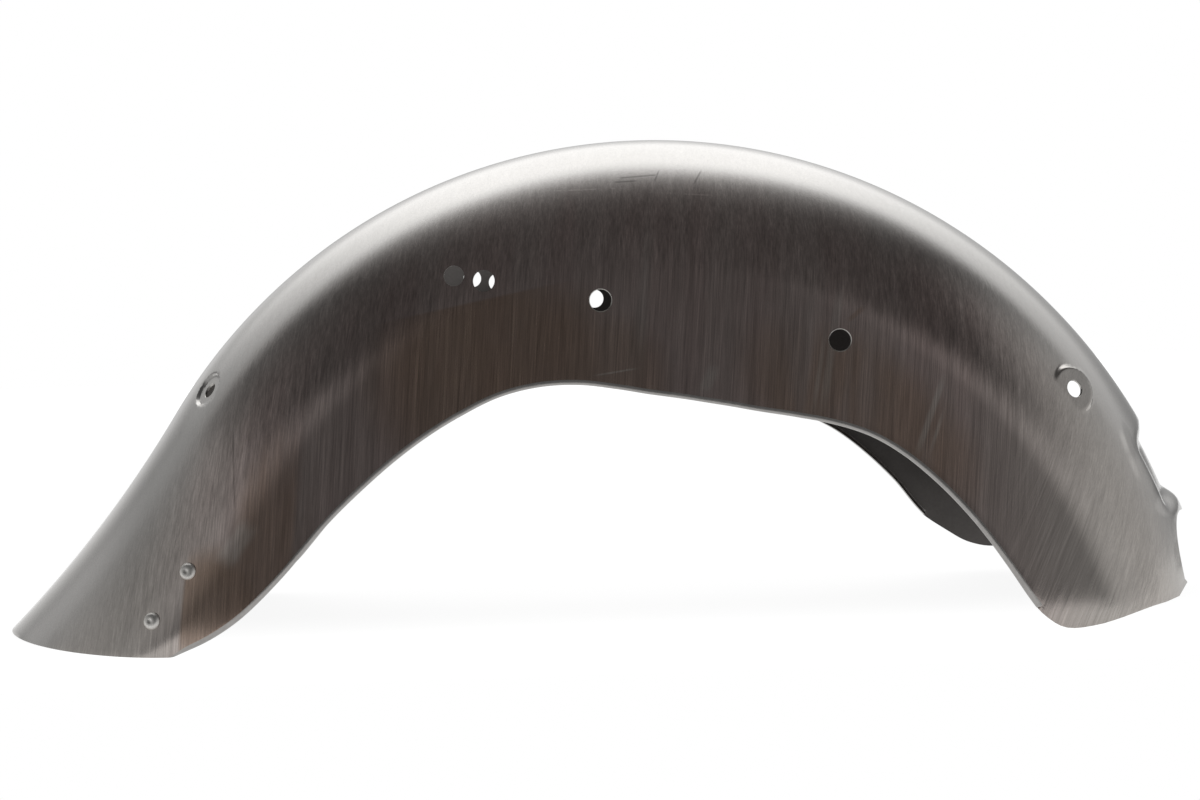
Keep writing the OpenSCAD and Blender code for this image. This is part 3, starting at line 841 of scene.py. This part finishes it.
def bare_steel():
    """Pressed sheet as it leaves the die: brushed upright, with brown oxide, wipe marks and scuffs, and with
    painted highlights and shade.
    """
    mat, n, where = new_material("bare_steel")
    at = SteelPlaces(n, where)
    wall, grain, streak, oxide = at.wall, at.grain(), at.streak(), at.oxide()
    speck = n.noise(where, (900, 900, 900), detail=2.0, rough=0.6)

    colour = n.mix(wall * 0.85, CLEAN_STEEL, WARM_STEEL)
    colour = n.mix(at.film(), colour, PLUM_FILM)
    colour = n.mix(oxide, colour, BROWN_OXIDE)
    # Pale wipe marks, and a painted highlight beside the rivets
    colour = n.mix(at.rubs_and_highlight(streak), colour, PALE_RUB_AND_HIGHLIGHT)

    # The brushing shows on the walls, and less toward both ends, and the tail's foot is painted a little
    # paler, as painted light
    show = (0.14 + wall * 0.86) * (1 - abs(at.x).step(0.26, 0.34) * 0.45)
    tone = (1 + (streak - 0.5) * show * 0.6) * (1 + (grain - 0.5) * show * 0.9)
    tone = tone * (1 + (at.cloud - 0.5) * show * 0.3) * (0.90 + speck * 0.20)
    # Painted light: the tail's end is made a little paler
    tail_foot_light = 1 + at.x.step(-0.30, -0.36) * 0.32
    # The front pressing carries painted highlight and shade
    tone = tone * at.scratched() * at.pressed() * tail_foot_light + at.glints()
    rough = 0.09 + wall * 0.04 + grain * 0.06 + streak * 0.06 + oxide * 0.10
    steel_surface(n, n.shade(colour, tone), rough, grain + speck * 0.4, 0.10)
    return mat


def dull_steel(name, base, rough, clouds=60.0):
    """Plain steel with a fine grain and clouds, whose pitch is per metre."""
    mat, n, where = new_material(name)
    grain = n.noise(where, (500, 500, 500), detail=4.0, rough=0.6)
    cloud = n.noise(where, (clouds, clouds, clouds), detail=4.0, rough=0.6)
    colour = n.shade(base, (0.75 + cloud * 0.5) * (0.85 + grain * 0.3))
    steel_surface(n, colour, rough + cloud * 0.15, grain, 0.15)
    return mat


# The shell


def spread(a, b, n):
    return list(np.linspace(a, b, n, endpoint=False))


def both_sides(half):
    return [-j for j in reversed(half[1:])] + half


def shell_stations(pitch):
    """Crown angles of the shell's grid, close together at the tip, by the ends of the lips and in front."""
    left_end, right_end = LEFT_LIP_END[0], RIGHT_LIP_END[0]
    return (spread(TIP_STATION, TIP_STATION + 3, 8 // pitch)
            + spread(TIP_STATION + 3, TAIL_START, 46 // pitch)
            + spread(TAIL_START, left_end, 206 // pitch) + [left_end]
            + spread(left_end + 0.05, right_end, 8) + [right_end]
            + spread(right_end + 0.05, CROWN_END, 16) + [CROWN_END])


def shell_rows(pitch):
    return both_sides(spread(0, SHOULDER_ROWS, 36 // pitch) + spread(SHOULDER_ROWS, SIDE_ROWS, 12 // pitch)
                      + spread(SIDE_ROWS, ALL_ROWS, 10) + [ALL_ROWS])


def pressed_shell():
    pitch = 1
    refine = [(seat.frame.translation, seat.radius + margin) for margin in (SEAT_REACH, SEAT_REACH / 2)
              for seat in SEATS]
    sheet = sheet_mesh(shell_stations(pitch), shell_rows(pitch), 0.0, SHEET, refine)
    return cut(sheet, "pressed_shell", shell_punches(), [
        bare_steel(),
        dull_steel("inner_steel", (0.150, 0.140, 0.134, 1), 0.42, 30.0),
        dull_steel("lip_steel", (0.46, 0.445, 0.43, 1), 0.24, 90.0),
        dull_steel("cut_edge_steel", (0.62, 0.6, 0.57, 1), 0.25)])


shell = pressed_shell()
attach(shell, "root")
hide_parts("fender_shell")

# Brace and rivets


def brace_strap():
    stations = [TAIL_START - math.degrees((BRACE_AT + BRACE_W * (0.5 - i / 20)) / CROWN_R) for i in range(21)]
    rows = both_sides(list(np.linspace(0, SHOULDER_ROWS, 28)))
    strap = sheet_mesh(stations, rows, SHEET + BRACE_GAP, SHEET + BRACE_GAP + BRACE_T)
    for face in strap.faces:
        face.material_index = 0
    return cut(strap, "brace_strap", joined([rivet_punch(dist, side) for dist in RIVET_DISTS
                                               for side in (-1, 1)]),
               [dull_steel("strap_steel", (0.30, 0.275, 0.26, 1), 0.40)])


brace = brace_strap()
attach(brace, "root")
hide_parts("tail_brace")

# Half section of a rivet as radius and height over the sheet: dimple, domed head, shank and inner head
RIVET_LINE = [(0, 2.7), (0.9, 2.75), (1.35, 3.0), (1.8, 3.12), (3.2, 3.02), (4.3, 2.5), (5.1, 1.65),
              (5.5, 0.9), (5.72, 0.35), (5.6, 0.1), (5.3, 0.03), (3.17, 0.03), (3.17, -4.2), (4.4, -4.2),
              (4.45, -5.6), (4.0, -6.3), (0, -6.4)]
rivet_steel = dull_steel("rivet_steel", (0.76, 0.74, 0.71, 1), 0.36)
for side, side_name in ((-1, "right"), (1, "left")):
    for dist, level_name in zip(RIVET_DISTS, ("upper", "lower")):
        rivet_bm = turned(RIVET_LINE, 48)
        rivet_bm.transform(seat_frame(tail_place(dist, RIVET_DEPTH), side))
        set_down(rivet_bm)
        rivet = to_object(rivet_bm, f"{side_name}_{level_name}_rivet", RIVET_CREASE)
        rivet.data.materials.append(rivet_steel)
        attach(rivet, "root")
        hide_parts(f"rivet_{side_name}_{level_name}")

# Studio, in metres

FLOOR_FRONT, FLOOR_BACK, FLOOR_SIDE, FLOOR_Z = -0.17, 3.0, 2.5, -0.0003
# Share of the floor that shows as white backdrop, to the camera and in reflections
FLOOR_WHITE, FLOOR_MIRRORED = 0.78, 0.58
FLOOR_GLOW = 1.17
# Where the floor starts to fade to white: to the front, to the back and to each side
FADE_FRONT, FADE_BACK, FADE_SIDE = 0.02, 1.0, 0.9


def seen_rays(n):
    """1 for rays that show the white backdrop, from the camera or through glass."""
    return n.ray("Is Camera Ray").larger(n.ray("Is Transmission Ray"))


def studio_floor():
    """A pale floor that keeps the shadow, fades to white at its rims, and ends in front of the steel."""
    bm = bmesh.new()
    bmesh.ops.create_grid(bm, x_segments=1, y_segments=1, size=1)
    for v in bm.verts:
        v.co = (v.co.x * FLOOR_SIDE, FLOOR_FRONT if v.co.y < 0 else FLOOR_BACK, FLOOR_Z)
    floor = to_object(bm, "studio_floor")
    mat, n, where = new_material("pale_floor")
    x, y, _ = n.parts(where)
    rim = y.step(FADE_FRONT, FLOOR_FRONT).larger(y.step(FADE_BACK, FLOOR_BACK))
    rim = rim.larger(abs(x).step(FADE_SIDE, FLOOR_SIDE))
    seen = seen_rays(n) * (FLOOR_WHITE + rim * (1 - FLOOR_WHITE))
    white = seen.larger(n.ray("Is Glossy Ray") * FLOOR_MIRRORED)
    paint = n.term("BsdfDiffuse", None, {"Color": (0.8, 0.8, 0.8, 1)})
    glow = n.term("Emission", None, {"Color": (1, 1, 1, 1), "Strength": FLOOR_GLOW})
    n.surface(n.term("MixShader", None, {0: white, 1: paint, 2: glow}))
    floor.data.materials.append(mat)


# Level of the studio light by its angle in the upright plane across the fender, in degrees: 0 is in front of
# the right wall, 90 straight up and 180 behind
LIGHT_ARCH = ((-180, 0.62), (-120, 0.60), (-70, 0.25), (-35, 0.14), (0, 0.11), (62, 0.10), (78, 0.12),
              (88, 0.22), (95, 0.40), (101, 0.85), (107, 1.50), (113, 1.75), (140, 1.68), (150, 1.06),
              (162, 0.68), (170, 0.56), (180, 0.50))
ARCH_FULL = 2.0
# Share of a full turn by which the arch stands further back toward the front end and the tail
ARCH_BACK_FRONT, ARCH_BACK_TAIL = 0.036, 0.010
# Share that the arch loses toward the front end and the tail, and the level of the room
ARCH_LOSS_FRONT, ARCH_LOSS_TAIL = 0.66, 0.80
ROOM = 0.085
# Pale ends of the room, as the x of a direction where each starts and where it is full, and its level. The
# glows reach up the room, the low ones are near the ground, and the back one is behind the tail.
GLOW_FRONT = (0.66, 1.0, 0.42)
GLOW_TAIL = (-0.62, -1.0, 0.27)
BACK_TAIL = (-0.2, -0.6, 0.37)
LOW_FRONT = (0.10, 0.80, 0.55)
LOW_TAIL = (-0.15, -0.80, 0.50)


def studio_light():
    """Dark room in front of the steel, a soft light above and behind it, and pale ends."""
    world = bpy.data.worlds.new("studio")
    bpy.context.scene.world = world
    n = Nodes(world)
    x, y, z = n.parts(n.term("TexCoord"))
    lean = (x.step(0.15, 0.85) * (1 - y.step(0.4, 0.9)) * ARCH_BACK_FRONT
            + x.step(-0.15, -0.7) * ARCH_BACK_TAIL)
    swing = z.math("ARCTAN2", z, y * -1.0) / math.tau + 0.5 - lean
    stops = [((angle + 180) / 360, level / ARCH_FULL) for angle, level in LIGHT_ARCH]
    arch = n.term("ValToRGB", {"stops": stops}, {0: swing}) * ARCH_FULL
    arch = arch * (1 - x.step(0.25, 1.0) * ARCH_LOSS_FRONT - x.step(-0.25, -1.0) * ARCH_LOSS_TAIL)

    def toward(end):
        return x.step(end[0], end[1])

    tail_glow = toward(GLOW_TAIL) * (1 - z.step(0.30, 0.50) * 0.6) * GLOW_TAIL[2]
    level = arch.larger(ROOM + toward(GLOW_FRONT) * GLOW_FRONT[2] + tail_glow)
    level = level + toward(BACK_TAIL) * y.step(0.4, 0.85) * (1 - z.step(0.15, 0.40)) * BACK_TAIL[2]
    before = 1 - y.step(0.0, 0.4)
    for end, low in ((LOW_FRONT, 1 - z.step(0.0, 0.40)), (LOW_TAIL, 1 - z.step(0.05, 0.40))):
        level = level + (end[2] - level) * toward(end) * low * before
    strength = level + (1 - level) * seen_rays(n)
    light = n.term("Background", None, {"Color": (1, 1, 1, 1), "Strength": strength})
    n.raw("OutputWorld", None, {"Surface": light})


CAMERA_PLACE = (-0.01556, -1.0154, 0.23066)
CAMERA_ROLL = math.radians(1.87)
# The photograph is cropped off centre, which the shift follows
CAMERA_LENS, CAMERA_SHIFT = 42.09, (0.0283, -0.0908)


def studio_camera():
    data = bpy.data.cameras.new("photo_camera")
    data.sensor_width = 36
    data.lens = CAMERA_LENS
    data.shift_x, data.shift_y = CAMERA_SHIFT
    data.clip_start, data.clip_end = 0.02, 50
    cam = bpy.data.objects.new("photo_camera", data)
    right = Vector((math.cos(CAMERA_ROLL), 0, -math.sin(CAMERA_ROLL)))
    up = Vector((math.sin(CAMERA_ROLL), 0, math.cos(CAMERA_ROLL)))
    turn = Matrix((right, up, Vector((0, -1, 0)))).transposed().to_4x4()
    cam.matrix_world = Matrix.Translation(CAMERA_PLACE) @ turn
    bpy.context.scene.collection.objects.link(cam)
    bpy.context.scene.camera = cam


studio_floor()
studio_light()
studio_camera()
bpy.context.scene.view_settings.view_transform = "Standard"
